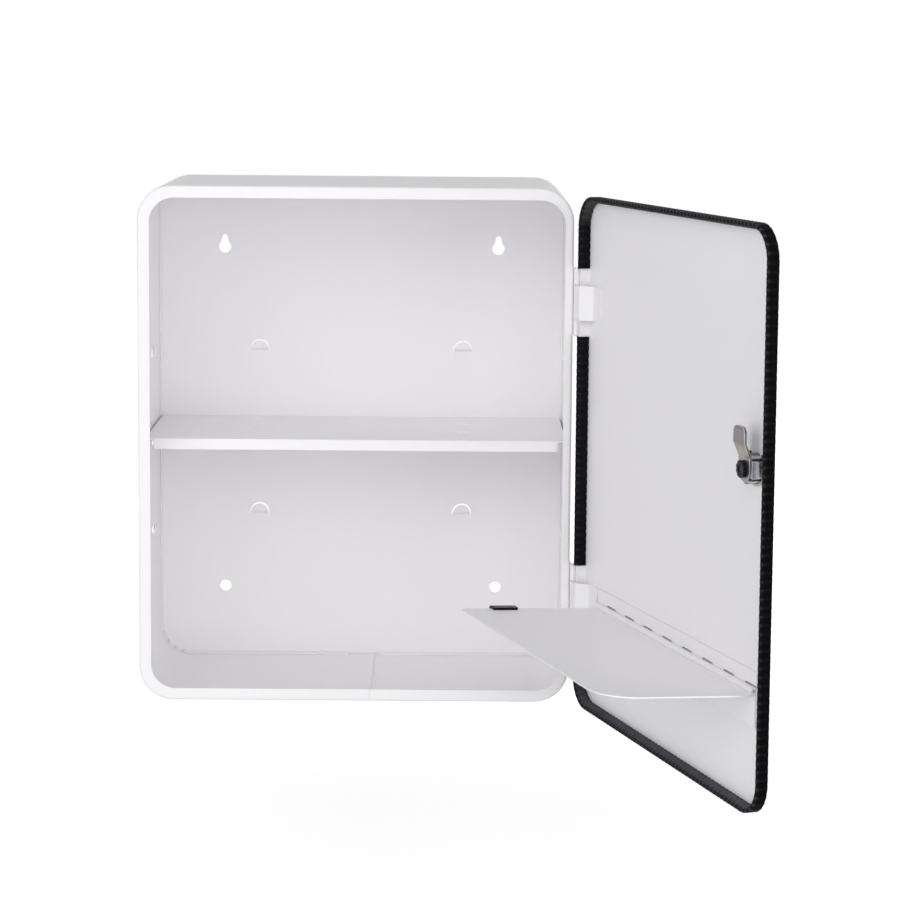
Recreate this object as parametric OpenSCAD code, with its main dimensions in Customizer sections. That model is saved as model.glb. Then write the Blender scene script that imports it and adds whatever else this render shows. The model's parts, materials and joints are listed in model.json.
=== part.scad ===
// Lockable wall cabinet for medicines, sheet steel, one shelf, door with a folding tray.
// Origin: centre of the back face. X to the right, Y towards the wall, Z up.
// The door is drawn shut and then swung open about its hinge pins by door_open.
// On the door, a place is given as a distance from its hinge-side edge (towards the free
// edge) and a distance inwards from its outer face.

/* [Case] */
// Width of the case
case_w = 300; // [240:1:420]
// Height of the case
case_h = 360; // [330:1:520]
// Depth of the case, without the door
case_d = 140; // [125:1:220]
// Outer radius of the case's corners
case_r = 24; // [14:0.5:34]
// Thickness of the case's sheet
case_t = 1; // [0.7:0.1:1.5]
// Outer radius of the bend along the front edge
case_bend = 2; // [1.6:0.1:3]
// Width of the front lip at the top, the bottom and the free side
lip_w = 8.5; // [6:0.1:12]
// Width of the front lip on the hinge side
lip_hinge_w = 5.8; // [4:0.1:9]
// Corner radius of the front opening
opening_r = 17; // [8:0.5:22]
// Width of the lap where the band's two ends meet
lap_w = 19; // [10:1:30]
// Place of the lap's visible end along the bottom, from the middle
lap_x = 11; // [-40:1:60]

/* [Back panel] */
// Thickness of the back panel
back_t = 1; // [0.7:0.1:1.5]
// Height of the flange round the back panel
back_flange = 6; // [4:0.5:12]
// Width of each slit in the flange's corners
slit_w = 1.2; // [0.8:0.1:2]
// Distance from the case's sides to the keyholes and the round holes
hang_inset = 49; // [36:1:80]
// Distance from the case's top to the keyholes' round ends
keyhole_drop = 53; // [40:1:80]
// Radius of a keyhole's round end
keyhole_r = 4.6; // [3.5:0.1:6]
// Radius of a keyhole's slot
keyslot_r = 2.1; // [1.5:0.1:3]
// Length of a keyhole's slot above the round end's centre
keyslot_l = 7.2; // [5:0.1:12]
// How much each side of the slot opens out towards the round end
keyslot_flare = 1.7; // [0:0.1:2.2]
// Height of the round holes' centres above the case's bottom
lower_hole_rise = 52.5; // [40:0.5:80]
// Radius of the round holes
lower_hole_r = 4; // [2.5:0.1:5]

/* [Shelf] */
// Height of the shelf's top face above the middle
shelf_z = 1; // [-10:0.5:20]
// Thickness of the shelf's sheet
shelf_t = 1; // [0.7:0.1:1.5]
// Height of the edges folded down round the shelf
shelf_lip = 7.6; // [5:0.1:14]
// Gap between each end of the shelf and the case's side
shelf_gap = 1.5; // [0.5:0.1:3]
// Depth of the shelf from front to back
shelf_d = 113.5; // [80:0.5:120]
// Length cut out of the front and back edges at each corner
shelf_notch = 6; // [3:0.5:12]
// Distance between the shelf's two rows of slots
slot_pitch_x = 151; // [90:1:200]
// Width of a slot
slot_w = 8; // [4:0.5:12]
// Depth of a slot, from front to back
slot_d = 4; // [1.5:0.1:5]
// Distance between slots, from front to back
slot_pitch_y = 37.5; // [20:0.5:50]
// Distance from the shelf's front to the first slot's centre
slot_first = 4; // [3.6:0.1:12]

/* [Shelf supports] */
// Distance between the rows of tongues in the back panel
tongue_level = 61.3; // [40:0.1:80]
// Distance between the rows of tongues in the case's sides
side_level = 64.6; // [40:0.1:80]
// Distance between the columns of tongues in the back panel
tongue_pitch = 150.8; // [90:0.2:200]
// Radius of a tongue's round top
tongue_r = 6.6; // [5:0.1:9]
// Height of a tongue
tongue_h = 7.5; // [5.5:0.1:10]
// Gap behind a tongue, where the shelf's back edge drops in
tongue_gap = 1.4; // [1.2:0.1:2.5]
// How far a tongue's top reaches above the shelf's lower edge
tongue_hold = 3.2; // [2:0.1:4]
// Width of the gap sheared round a tongue
shear_gap = 0.5; // [0.3:0.1:1]
// Gap between a side tongue and the case's side
side_gap = 1.7; // [1.2:0.1:2]
// Distance from the case's front to the side tongues' centres
side_y = 86; // [50:0.5:105]

/* [Door] */
// Distance from the case's hinge side to the edge of the door's trim
door_inset = 1; // [0.5:0.1:3]
// Distance from the case's free side to the edge of the door's trim
door_inset_free = 3; // [1:0.1:4]
// Distance from the case's top to the edge of the door's trim
door_inset_top = 4.2; // [1:0.1:6]
// Distance from the case's bottom to the edge of the door's trim
door_inset_bottom = 2.2; // [1:0.1:6]
// Distance from the case's front to the door's outer face when shut
door_stack = 10; // [9.5:0.1:12]
// Angle at which the door stands open
door_open = 108.8; // [0:0.2:180]
// Thickness of the door's sheet
door_t = 0.8; // [0.6:0.1:1.2]
// Height of the flange round the door, from its outer face
door_flange = 7.1; // [6:0.1:7.4]
// Outer radius of the bend between the door's face and flange
door_bend = 1; // [0.9:0.1:2]
// Corner radius over the trim
door_r = 22; // [12:0.5:30]
// Thickness of the edge trim's legs
trim_t = 1.5; // [1:0.1:2]
// Thickness of the edge trim over the flange's edge
trim_crown = 1.5; // [0.8:0.1:1.6]
// Radius of the crown's corner on the side of the panel
trim_round = 3; // [0.8:0.1:3.2]
// Radius of the crown's corner on the door's outside
trim_edge = 0.6; // [0.3:0.1:1.2]
// Gap between the edge trim's outer leg and the plane of the door's outer face
trim_lift = 1.2; // [0.2:0.1:2]
// Length left free of trim at each hinge
trim_gap_l = 47; // [46:1:70]

/* [Door hinges] */
// Distance from the door's top and bottom edges to the hinges' centres
hinge_inset = 73.6; // [60:0.2:110]
// Length of a hinge
hinge_l = 46; // [30:1:46]
// Length of the door strap's knuckle
strap_l = 23.6; // [12:0.2:32]
// Outer radius of the hinge knuckles
knuckle_r = 2.2; // [2:0.1:2.3]
// Radius of the hinge pins
pin_r = 1.2; // [0.9:0.05:1.3]
// Thickness of the hinges' sheet
leaf_t = 0.8; // [0.6:0.1:1]
// Distance from the case's front to the pins' axis
pin_y = 2.4; // [2.3:0.1:2.6]
// Length of a case leaf along the case's side
case_leaf_w = 13; // [8:0.5:20]
// Distance from the door's hinge-side edge to where the strap starts down
strap_over = 6.5; // [4:0.5:9]
// Distance from the door's hinge-side edge to where the strap meets the panel
strap_down = 12.5; // [11:0.5:18]
// Length of the strap's foot on the panel
strap_foot = 14; // [8:0.5:20]

/* [Tray] */
// Distance from the door's hinge-side edge to the tray
tray_start = 28; // [22:0.5:40]
// Distance from the door's free edge to the tray
tray_end = 17; // [17:0.5:60]
// Reach of the tray from the door's outer face
tray_reach = 101; // [70:0.5:104]
// Thickness of the tray's sheet
tray_t = 1; // [0.7:0.1:1.2]
// Angle at which the tray rises from level
tray_rise = 3.5; // [0:0.5:6]
// Height of the stop flange folded down from the tray
tray_flange = 19.5; // [12:0.5:26]
// Radius of the tray's corner at the free side
tray_r = 24; // [18:0.5:40]
// Radius of the tray's corner at the hinge side
tray_hinge_r = 3; // [1:0.5:10]
// Height of the tray's pivot above the bottom of the case
tray_pivot_z = 76.8; // [60:0.2:110]
// Radius of the hanging hole near the tray's outer edge
tray_hole_r = 0.8; // [0.6:0.1:1.2]
// Distance of the hanging hole from the tray's hinge-side edge
tray_hole_s = 58; // [20:1:120]

/* [Tray hinge] */
// Distance from the door's hinge-side edge to the tray's hinge
strip_start = 30; // [28:0.5:44]
// Number of knuckles on the tray's hinge
strip_knuckles = 16; // [8:2:24]
// Outer radius of the tray hinge's knuckles
strip_r = 2.2; // [1.8:0.1:2.4]
// Radius of the tray hinge's pin
strip_pin_r = 1.1; // [0.8:0.05:1.2]
// Height of the tray hinge's door leaf above the pivot
strip_leaf_h = 11.4; // [8:0.2:16]

/* [Tray edge clip] */
// Distance of the clip's near end from the door's outer face
clip_start = 62; // [40:1:70]
// Length of the clip
clip_l = 17.5; // [12:0.5:24]
// Height of the clip across the tray's sheet
clip_h = 4.4; // [3.4:0.1:6]
// How far the clip reaches over the tray's sheet
clip_over = 6; // [2.5:0.1:8]
// Radius of the clip's corners on the sheet
clip_round = 0.8; // [0.4:0.1:1.2]

/* [Lock] */
// Distance from the door's free edge to the lock's axis
lock_inset = 24.6; // [24.6:0.1:50]
// Height of the lock's axis above the case's middle
lock_rise = 30; // [25:0.5:60]
// Radius of the lock's barrel
barrel_r = 9.2; // [8:0.1:10]
// Distance across the barrel's flats
barrel_flats = 15.8; // [13:0.1:16]
// Length of the barrel behind the door's outer face
barrel_l = 7.8; // [6:0.1:8.5]
// Radius of the lock's head
head_r = 11; // [10:0.1:14]
// Height of the lock's head in front of the door
head_h = 2.5; // [1.5:0.1:5]
// Radius of the turning plug
plug_r = 6; // [4.5:0.1:6.5]
// Distance across the square that drives the cam
square_w = 6.4; // [5:0.1:7]
// Thickness of the cam
cam_t = 1.6; // [1:0.1:2]
// Length of the cam from the lock's axis to its tip
cam_l = 25.9; // [18:0.1:25.9]
// Width of the cam's blade
cam_w = 15.4; // [12:0.1:16]
// Radius of the corners at the cam's tip
cam_tip_r = 4.5; // [2:0.1:6]
// Radius of the cam's round end at the lock's axis
cam_root_r = 7.7; // [6.5:0.1:9]
// Offset of the cam's blade from its root
cam_crank = 3.7; // [3.5:0.1:6]
// Distance from the lock's axis to where the cam's crank starts
crank_start = 6.6; // [6:0.1:8]
// Length of the crank
crank_l = 8.8; // [6:0.1:10]
// Radius of the cam's nut
nut_r = 5.3; // [4.5:0.1:6.5]
// Thickness of the cam's nut
nut_h = 2.6; // [1.5:0.1:4]
// Number of notches round the nut
nut_notches = 10; // [6:1:16]
// Depth of the stud's end below the nut's face
stud_sink = 0.6; // [0.2:0.1:1]
// Thickness of the spring clip that holds the barrel
spring_t = 1.2; // [0.8:0.1:2]
// Radius of the spring clip's round end
spring_r = 10.8; // [10.5:0.1:13]
// Length of the spring clip's legs past the lock's axis
spring_leg = 9.2; // [8:0.1:13]

/* [Clearances] */
// Gap between pieces that are fastened together
seat = 0.1; // [0.02:0.01:0.2]
// Radial clearance of a pin or plug in its bore
running = 0.05; // [0.02:0.01:0.1]
// Gap between neighbouring knuckles
knuckle_gap = 0.3; // [0.2:0.05:0.5]

/* [Hidden] */
$fn = 64;
eps = 0.01;                                // overlap of solids that are joined
white = "white";
steel = "silver";
black = "#202022";

// case
front_y = -case_d;
inner_w = case_w - 2 * case_t;
inner_h = case_h - 2 * case_t;
inner_r = case_r - case_t;
lap_end_x = lap_x - lap_w;

// back panel
panel_w = inner_w - 2 * seat;
panel_h = inner_h - 2 * seat;
panel_r = inner_r - seat;
slit_angles = [18, 36, 54, 72];

hang_x = case_w / 2 - hang_inset;
keyhole_z = case_h / 2 - keyhole_drop;
flare_r = min(keyslot_r + keyslot_flare, keyhole_r - 0.3);
lower_hole_z = -case_h / 2 + lower_hole_rise;

// shelf and what carries it
shelf_w = inner_w - 2 * shelf_gap;
shelf_under = shelf_z - shelf_t;
shelf_foot = shelf_z - shelf_t - (shelf_lip - shelf_t);
shelf_back_y = -back_t - (tongue_gap - shelf_t) / 2;
shelf_front_y = shelf_back_y - shelf_d;
levels = [-1, 0, 1];
ramp_h = 2;                                // height over which a tongue leaves its panel

// door, shut
door_w = case_w - door_inset - door_inset_free;
door_h = case_h - door_inset_top - door_inset_bottom;
door_drop = (door_inset_top - door_inset_bottom) / 2;
door_y = front_y - door_stack;             // outer face
door_x = case_w / 2 - door_inset;          // hinge-side edge
flat_lap = 2;                              // flat part of a swept bend, shared with the plate it joins
pan_inset = trim_t + seat;                 // trim's outer face to the pan's flange
pan_w = door_w - 2 * pan_inset;
pan_h = door_h - 2 * pan_inset;
pan_r = door_r - pan_inset;
trim_h = door_flange + seat + trim_crown;
trim_w = 2 * trim_t + 2 * seat + door_t;
crown_round = min(trim_round, trim_w - trim_edge - 0.2);
function on_door(s, n) = [door_x - s, door_y + n];

// door hinges
axis_x = case_w / 2 + knuckle_r;
axis_y = front_y - pin_y;
bore_r = pin_r + running;
hinge_reach = door_h / 2 - hinge_inset;     // hinges' centres from the door's middle
hinge_zs = [hinge_reach - door_drop, -hinge_reach - door_drop];
case_knuckle_l = (hinge_l - strap_l) / 2 - knuckle_gap;
axis_n = door_stack - pin_y;               // pins' axis, inwards from the door's outer face
strap_top = axis_n + knuckle_r;            // strap's inner face, inwards from the door's outer face

// tray and its hinge
tray_l = door_w - tray_start - tray_end;
strip_l = door_w - strip_start - tray_end;
pivot_z = tray_pivot_z - case_h / 2;
pivot_n = door_t + seat + strip_r;
strip_bore_r = strip_pin_r + running;
strip_pitch = strip_l / strip_knuckles;
tray_leaf_h = tray_flange;
tray_top = pivot_z - strip_r - knuckle_gap - tray_t / 2;   // plate's middle where it starts
tray_back = door_t + seat + leaf_t + seat; // flange's back face, inwards from the door's outer face
tray_depth = tray_reach - tray_back;
clip_slot = tray_t + 2 * seat;

// lock
lock_s = door_w - lock_inset;
cam_start = barrel_l + seat;
nut_start = cam_start + cam_t + seat;
stud_r = 2.4;
crank_end = crank_start + crank_l;

module swung_open()
    translate([axis_x, axis_y, 0]) rotate([0, 0, door_open]) translate([-axis_x, -axis_y, 0])
        children();

// A plan of the door: X runs from the hinge-side edge to the free edge, Y inwards
module door_plan(z0, h)
    translate([door_x, door_y, z0]) mirror([1, 0, 0]) linear_extrude(h) children();

module rounded(w, h, r)
    union() {
        square([w - 2 * r, h], center = true);
        square([w, h - 2 * r], center = true);
        for (x = [-1, 1], z = [-1, 1])
            translate([x * (w / 2 - r), z * (h / 2 - r)]) circle(r);
    }

// Upright plate in the XZ plane from y0 to y0 + t
module upright(y0, t)
    translate([0, y0 + t, 0]) rotate([90, 0, 0]) linear_extrude(t) children();

// Sweeps a profile round the corner at the upper right of a rounded rectangle.
// The profile's X is the distance from the corner's centre, its Y is the depth.
module corner_sweep(w, h, r, x, z)
    translate([x * (w / 2 - r), 0, z * (h / 2 - r)])
        rotate([-90, 0, 0]) rotate([0, 0, x > 0 ? (z > 0 ? -90 : 0) : (z > 0 ? 180 : 90)])
            rotate_extrude(angle = 90) children();

// The same profile along the straight side that faces dir (0 right, 90 top, 180 left, 270 bottom)
module side_sweep(w, h, r, dir, from, to)
    let (reach = (dir % 180 == 0 ? w : h) / 2 - r)
        rotate([0, -dir, 0]) translate([reach, 0, from])
            linear_extrude(to - from) children();

module closed_sweep(w, h, r) {
    for (x = [-1, 1], z = [-1, 1]) corner_sweep(w, h, r, x, z) children();
    for (dir = [0, 180]) side_sweep(w, h, r, dir, -h / 2 + r, h / 2 - r) children();
    for (dir = [90, 270]) side_sweep(w, h, r, dir, -w / 2 + r, w / 2 - r) children();
}

// Profile of the band: a wall and the bend to the front lip
module band_profile() {
    translate([case_r - case_t, front_y + case_bend]) square([case_t, case_d - case_bend]);
    intersection() {
        translate([case_r - case_bend, front_y + case_bend]) difference() {
            circle(case_bend);
            circle(case_bend - case_t);
        }
        translate([case_r - case_bend, front_y]) square(case_bend);
    }
    translate([case_r - lip_hinge_w, front_y]) square([lip_hinge_w - case_bend, case_t]);
}

module opening_outline()
    let (w = case_w - lip_w - lip_hinge_w, h = case_h - 2 * lip_w)
        translate([(lip_w - lip_hinge_w) / 2, 0]) rounded(w, h, opening_r);

module casing_band() color(white) {
    band_sheet();
    at_side_tongues() tongue(case_t, side_gap);
}

module band_sheet()
    difference() {
        union() {
            closed_sweep(case_w, case_h, case_r) band_profile();
            upright(front_y, case_t) difference() {
                rounded(case_w - 2 * case_bend, case_h - 2 * case_bend, case_r - case_bend);
                opening_outline();
            }
            band_lap();
        }
        at_side_tongues() tongue_window(case_t);
        // the lap's outer end shows as a fine line across the lip
        translate([lap_x, front_y - eps, -case_h / 2 - eps])
            cube([0.3, 0.3, lip_w + 2 * eps]);
    }

// The band's inner end, lying on the outer one along the bottom
module band_lap()
    translate([lap_end_x, front_y + case_t - eps, -case_h / 2 + case_t - eps])
        cube([lap_w, case_d - case_t - back_flange - back_t, case_t]);

// The shelf's side edges stand on these
module at_side_tongues()
    for (level = levels, side = [-1, 1])
        translate([side * case_w / 2, front_y + side_y,
                   shelf_foot - seat - tongue_h + level * side_level])
            rotate([0, 0, -side * 90]) children();

module keyhole_outline()
    union() {
        circle(keyhole_r);
        polygon([[-flare_r, 0], [flare_r, 0], [keyslot_r, keyslot_l], [-keyslot_r, keyslot_l]]);
        translate([0, keyslot_l]) circle(keyslot_r);
    }

// Half-moon outline of a tongue above its foot
module tongue_outline(extra, foot)
    intersection() {
        translate([0, tongue_h - tongue_r]) circle(tongue_r + extra);
        translate([-tongue_r - extra, -foot]) square([2 * (tongue_r + extra), tongue_h + extra + foot]);
    }

// A tongue's side view: out of its panel along a ramp, then up, parallel to the panel
module tongue_bend(t, gap)
    polygon([[0, -eps], [-t, -eps], [-t - gap - t, ramp_h], [-t - gap - t, tongue_h + 1],
             [-t - gap, tongue_h + 1], [-t - gap, ramp_h + t], [0, 0.6 * t]]);

module tongue(t, gap)
    intersection() {
        translate([-tongue_r, 0, 0]) rotate([90, 0, 90]) linear_extrude(2 * tongue_r) tongue_bend(t, gap);
        upright(-2 * t - gap - eps, 2 * t + gap + eps) tongue_outline(0, eps);
    }

module tongue_window(t) upright(-2 * t, 3 * t) tongue_outline(shear_gap, 0);

module at_tongues()
    for (level = levels, side = [-1, 1])
        translate([side * tongue_pitch / 2, 0,
                   shelf_foot + tongue_hold - tongue_h + level * tongue_level]) children();

module back_profile() {
    translate([panel_r - back_t, -back_flange]) square([back_t, back_flange]);
}

module corner_slits()
    for (x = [-1, 1], z = [-1, 1], a = slit_angles)
        translate([x * (panel_w / 2 - panel_r), -back_flange - eps, z * (panel_h / 2 - panel_r)])
            rotate([0, -(x > 0 ? a : 180 - a) * z, 0])
                translate([panel_r - 2 * back_t, 0, -slit_w / 2])
                    cube([3 * back_t, back_flange - back_t, slit_w]);

module back_panel() color(white)
    union() {
        difference() {
            union() {
                upright(-back_t, back_t) rounded(panel_w - back_t, panel_h - back_t, panel_r - back_t / 2);
                closed_sweep(panel_w, panel_h, panel_r) back_profile();
            }
            corner_slits();
            // room for the band's lap
            translate([lap_end_x - shear_gap, -back_flange - eps, -panel_h / 2 - 2 * eps])
                cube([lap_w + 2 * shear_gap, back_flange - back_t, 2 * back_t]);
            upright(-2 * back_t, 3 * back_t) {
                for (x = [-1, 1]) {
                    translate([x * hang_x, keyhole_z]) keyhole_outline();
                    translate([x * hang_x, lower_hole_z]) circle(lower_hole_r);
                }
            }
            at_tongues() tongue_window(back_t);
        }
        at_tongues() tongue(back_t, tongue_gap);
    }

module shelf() color(white)
    difference() {
        translate([-shelf_w / 2, shelf_front_y, shelf_foot]) cube([shelf_w, shelf_d, shelf_lip]);
        translate([-shelf_w / 2 + shelf_t, shelf_front_y + shelf_t, shelf_foot - eps])
            cube([shelf_w - 2 * shelf_t, shelf_d - 2 * shelf_t, shelf_lip - shelf_t + eps]);
        // the folded edges stop short of the corners
        for (x = [-1, 1], y = [shelf_front_y, shelf_back_y])
            translate([x * shelf_w / 2, y, shelf_foot - eps])
                translate([-shelf_notch, -shelf_t - eps, 0])
                    cube([2 * shelf_notch, 2 * shelf_t + 2 * eps, shelf_lip - shelf_t + eps]);
        for (x = [-1, 1], i = [0:2])
            translate([x * slot_pitch_x / 2, shelf_front_y + slot_first + i * slot_pitch_y, shelf_under])
                cube([slot_w, slot_d, 4 * shelf_t], center = true);
    }

// Profile of the door's pan: part of the face, the bend and the flange
module pan_profile() {
    translate([pan_r - door_t, door_y + door_bend]) square([door_t, door_flange - door_bend]);
    intersection() {
        translate([pan_r - door_bend, door_y + door_bend]) difference() {
            circle(door_bend);
            circle(door_bend - door_t);
        }
        translate([pan_r - door_bend, door_y]) square(door_bend);
    }
    translate([pan_r - door_bend - flat_lap, door_y]) square([flat_lap, door_t]);
}

module at_door_middle()
    translate([door_x - door_w / 2, 0, -door_drop]) children();

module barrel_outline(extra)
    intersection() {
        circle(barrel_r + extra);
        square([barrel_flats + 2 * extra, 2 * barrel_r + 2], center = true);
    }

// Lock pieces are drawn along +Z, which points inwards from the door's outer face
module at_lock()
    swung_open() translate([door_x - lock_s, door_y, lock_rise]) rotate([-90, 0, 0]) children();

module door_panel() color(white)
    difference() {
        swung_open() at_door_middle() {
            closed_sweep(pan_w, pan_h, pan_r) pan_profile();
            upright(door_y, door_t)
                rounded(pan_w - 2 * door_bend - flat_lap, pan_h - 2 * door_bend - flat_lap,
                        pan_r - door_bend - flat_lap / 2);
        }
        at_lock() translate([0, 0, -1]) linear_extrude(door_t + 2) barrel_outline(seat);
    }

// U section of the push-on trim; X towards the door's outside, Y from its face inwards
module trim_profile()
    difference() {
        union() {
            translate([door_r - trim_w, door_y + door_bend + seat])
                square([trim_w - trim_t, trim_h - door_bend - seat - crown_round]);
            translate([door_r - trim_w + trim_t, door_y + trim_lift])
                square([trim_w - trim_t, trim_h - trim_lift - crown_round]);
            translate([door_r - trim_w, door_y + trim_h]) crown_outline();
        }
        translate([door_r - pan_inset - door_t - seat, door_y])
            square([door_t + 2 * seat, door_flange + seat]);
    }

// Crown of the trim, drawn below Y = 0: a large round on the panel's side, a small one outside
module crown_outline() {
    translate([crown_round, -crown_round]) {
        square([trim_w - crown_round - trim_edge, crown_round]);
        intersection() {
            circle(crown_round);
            translate([-crown_round, -eps]) square(crown_round + eps);
        }
    }
    translate([trim_w / 2, -crown_round - eps]) square([trim_w / 2, crown_round - trim_edge + eps]);
    translate([trim_w - trim_edge, -trim_edge]) circle(trim_edge);
}

module door_edge_trim() color(black)
    swung_open() at_door_middle() {
        for (x = [-1, 1], z = [-1, 1]) corner_sweep(door_w, door_h, door_r, x, z) trim_profile();
        side_sweep(door_w, door_h, door_r, 180, -door_h / 2 + door_r, door_h / 2 - door_r)
            trim_profile();
        for (dir = [90, 270])
            side_sweep(door_w, door_h, door_r, dir, -door_w / 2 + door_r, door_w / 2 - door_r)
                trim_profile();
        side_sweep(door_w, door_h, door_r, 0, hinge_reach + trim_gap_l / 2, door_h / 2 - door_r)
            trim_profile();
        side_sweep(door_w, door_h, door_r, 0, -door_h / 2 + door_r, -hinge_reach - trim_gap_l / 2)
            trim_profile();
    }

module door_edge_trim_hinge_side() color(black)
    swung_open() at_door_middle()
        side_sweep(door_w, door_h, door_r, 0, -hinge_reach + trim_gap_l / 2,
                   hinge_reach - trim_gap_l / 2) trim_profile();

// Case half of a door hinge: two knuckles and a leaf along the outside of the case
module hinge_case_leaf(z)
    translate([axis_x, axis_y, z]) difference() {
        union() {
            for (dir = [-1, 1])
                translate([0, 0, dir * (hinge_l / 2 - case_knuckle_l / 2)]) {
                    cylinder(r = knuckle_r, h = case_knuckle_l, center = true);
                    translate([-knuckle_r + seat, 0, -case_knuckle_l / 2])
                        cube([leaf_t, pin_y + eps, case_knuckle_l]);
                }
            translate([-knuckle_r + seat, pin_y, -hinge_l / 2]) cube([leaf_t, case_leaf_w, hinge_l]);
        }
        cylinder(r = bore_r, h = hinge_l + 2, center = true);
    }

// Door half: a knuckle and a strap over the flange's edge down to the panel
module hinge_door_strap(z)
    swung_open() difference() {
        union() {
            translate([axis_x, axis_y, z]) cylinder(r = knuckle_r, h = strap_l, center = true);
            door_plan(z - strap_l / 2, strap_l) strap_outline();
        }
        translate([axis_x, axis_y, z]) cylinder(r = bore_r, h = strap_l + 2, center = true);
    }

module strap_outline()
    let (root = door_x - axis_x, low = door_t + seat)
        polygon([[root, strap_top], [strap_over, strap_top], [strap_down, low + leaf_t],
                 [strap_down + strap_foot, low + leaf_t], [strap_down + strap_foot, low],
                 [strap_down - leaf_t / 2, low], [strap_over - leaf_t / 2, strap_top - leaf_t],
                 [root, strap_top - leaf_t]]);

module hinge_pin(z)
    translate([axis_x, axis_y, z]) {
        cylinder(r = pin_r, h = hinge_l, center = true);
        for (dir = [-1, 1])
            translate([0, 0, dir * (hinge_l / 2 + 0.4)]) cylinder(r = pin_r + 0.5, h = 0.8, center = true);
    }

module upper_hinge_case_leaf() color(white) hinge_case_leaf(hinge_zs[0]);
module lower_hinge_case_leaf() color(white) hinge_case_leaf(hinge_zs[1]);
module upper_hinge_door_strap() color(white) hinge_door_strap(hinge_zs[0]);
module lower_hinge_door_strap() color(white) hinge_door_strap(hinge_zs[1]);
module upper_hinge_pin() color(steel) hinge_pin(hinge_zs[0]);
module lower_hinge_pin() color(steel) hinge_pin(hinge_zs[1]);

// Pieces of the tray's hinge are drawn with X along the pivot, towards the hinge side
module at_pivot()
    swung_open() translate([door_x - strip_start - strip_l, door_y + pivot_n, pivot_z]) children();

// Half of the long hinge: every second knuckle from first on, and a leaf on the side up (1) or down (-1)
module strip_half(first, up, leaf_h)
    difference() {
        union() {
            for (i = [first:2:strip_knuckles - 1])
                translate([i * strip_pitch + knuckle_gap / 2, 0, 0]) {
                    rotate([0, 90, 0]) cylinder(r = strip_r, h = strip_pitch - knuckle_gap);
                    translate([0, -strip_r, up > 0 ? 0 : -strip_r - 2 * knuckle_gap])
                        cube([strip_pitch - knuckle_gap, leaf_t, strip_r + 2 * knuckle_gap]);
                }
            translate([0, -strip_r, up > 0 ? strip_r + knuckle_gap : -leaf_h])
                cube([strip_l, leaf_t, leaf_h - strip_r - knuckle_gap]);
        }
        translate([-1, 0, 0]) rotate([0, 90, 0]) cylinder(r = strip_bore_r, h = strip_l + 2);
    }

module tray_hinge_door_leaf() color(white) at_pivot() strip_half(1, 1, strip_leaf_h);
module tray_hinge_tray_leaf() color(white) at_pivot() strip_half(0, -1, tray_leaf_h);
module tray_hinge_pin() color(steel)
    at_pivot() rotate([0, 90, 0]) cylinder(r = strip_pin_r, h = strip_l);

// The tray's plate lies in this frame: X from the hinge side to the free side, Y outwards
module on_tray()
    swung_open() translate([door_x - tray_start, door_y + tray_back, tray_top])
        rotate([tray_rise, 0, 0]) mirror([1, 0, 0]) children();

module tray_outline()
    difference() {
        union() {
            square([tray_l, tray_depth - tray_r]);
            square([tray_l - tray_r, tray_depth - tray_hinge_r]);
            translate([tray_hinge_r, 0]) square([tray_l - tray_r - tray_hinge_r, tray_depth]);
            translate([tray_l - tray_r, tray_depth - tray_r]) circle(tray_r);
            translate([tray_hinge_r, tray_depth - tray_hinge_r]) circle(tray_hinge_r);
        }
        translate([tray_hole_s, tray_depth - 2.5 * tray_hole_r]) circle(tray_hole_r);
    }

module tray() color(white) {
    on_tray() translate([0, 0, -tray_t / 2]) linear_extrude(tray_t) tray_outline();
    // stop flange, upright behind the bend
    swung_open()
        translate([door_x - tray_start - tray_l, door_y + tray_back, tray_top - tray_flange])
            cube([tray_l, tray_t, tray_flange + tray_t / 2]);
}

module tray_edge_clip() color(black)
    on_tray() difference() {
        hull() for (y = [clip_start + clip_round, clip_start + clip_l - clip_round])
            translate([0, y - tray_back, 0]) {
                translate([clip_over - clip_round, 0, 0])
                    cylinder(r = clip_round, h = clip_h, center = true, $fn = 32);
                translate([-seat - clip_h / 4, 0, 0]) rotate([90, 0, 0])
                    cylinder(r = clip_h / 2, h = 2 * clip_round, center = true, $fn = 32);
            }
        translate([-seat, 0, -clip_slot / 2]) cube([tray_l, tray_reach, clip_slot]);
    }

module lock_barrel() color(steel) at_lock()
    difference() {
        union() {
            translate([0, 0, -head_h / 2]) linear_extrude(barrel_l + head_h / 2) barrel_outline(0);
            translate([0, 0, -head_h]) cylinder(r1 = head_r - 0.8, r2 = head_r, h = 0.8 + eps);
            translate([0, 0, -head_h + 0.8]) cylinder(r = head_r, h = head_h - 0.8 - seat);
        }
        translate([0, 0, -head_h - 1]) cylinder(r = plug_r + running, h = barrel_l + head_h + 2);
    }

module lock_spring_clip() color(steel) at_lock()
    translate([0, 0, door_t + seat]) difference() {
        linear_extrude(spring_t) difference() {
            union() {
                circle(spring_r);
                translate([-spring_r, -spring_leg]) square([2 * spring_r, spring_leg]);
            }
            translate([-barrel_flats / 2 - seat, -spring_leg - spring_r])
                square([barrel_flats + 2 * seat, spring_leg + spring_r]);
            circle(barrel_r + seat);
        }
    }

module lock_plug() color(steel) at_lock()
    difference() {
        union() {
            translate([0, 0, -head_h + 0.3]) cylinder(r = plug_r, h = barrel_l + head_h - 0.3);
            translate([-square_w / 2, -square_w / 2, barrel_l - eps])
                cube([square_w, square_w, cam_t + 2 * seat]);
            cylinder(r = stud_r, h = nut_start + nut_h - stud_sink);
        }
        // keyway
        translate([-0.8, -3.4, -head_h]) cube([1.6, 6.8, 6]);
    }

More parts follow.
